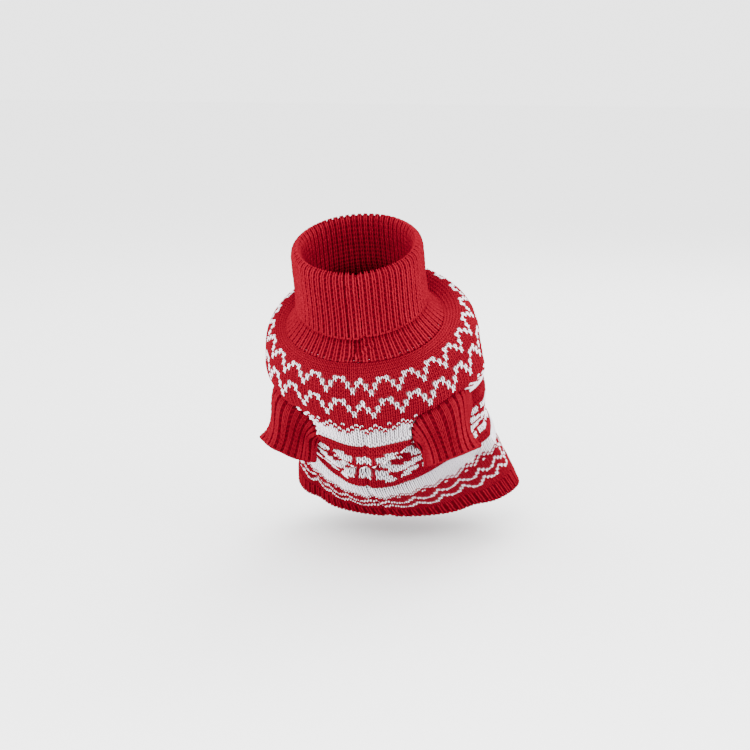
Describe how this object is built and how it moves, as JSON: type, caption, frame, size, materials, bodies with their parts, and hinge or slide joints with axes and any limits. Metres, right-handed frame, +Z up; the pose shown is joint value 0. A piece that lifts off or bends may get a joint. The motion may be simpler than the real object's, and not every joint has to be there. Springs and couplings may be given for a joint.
{
  "type": "dog sweater",
  "caption": "Hollow knitted roll-neck dog sweater in its worn form, with a ribbed collar, two short leg sleeves, a ribbed hem and a traditional Nordic pattern.",
  "frame": {"origin": "the middle of the shoulder girth, where the wearer carries the sweater", "axes": "+Z up, -Y the way the wearer faces, +X to the wearer's left"},
  "size_m": [0.1666, 0.2869, 0.2259],
  "materials": {
    "knit": "matte",
    "rib": "matte"
  },
  "bodies": {
    "root": {"body": "knit", "roll_collar": "rib", "sleeve_left": "rib", "sleeve_right": "rib", "hem_rib": "rib"}
  },
  "joints": []
}
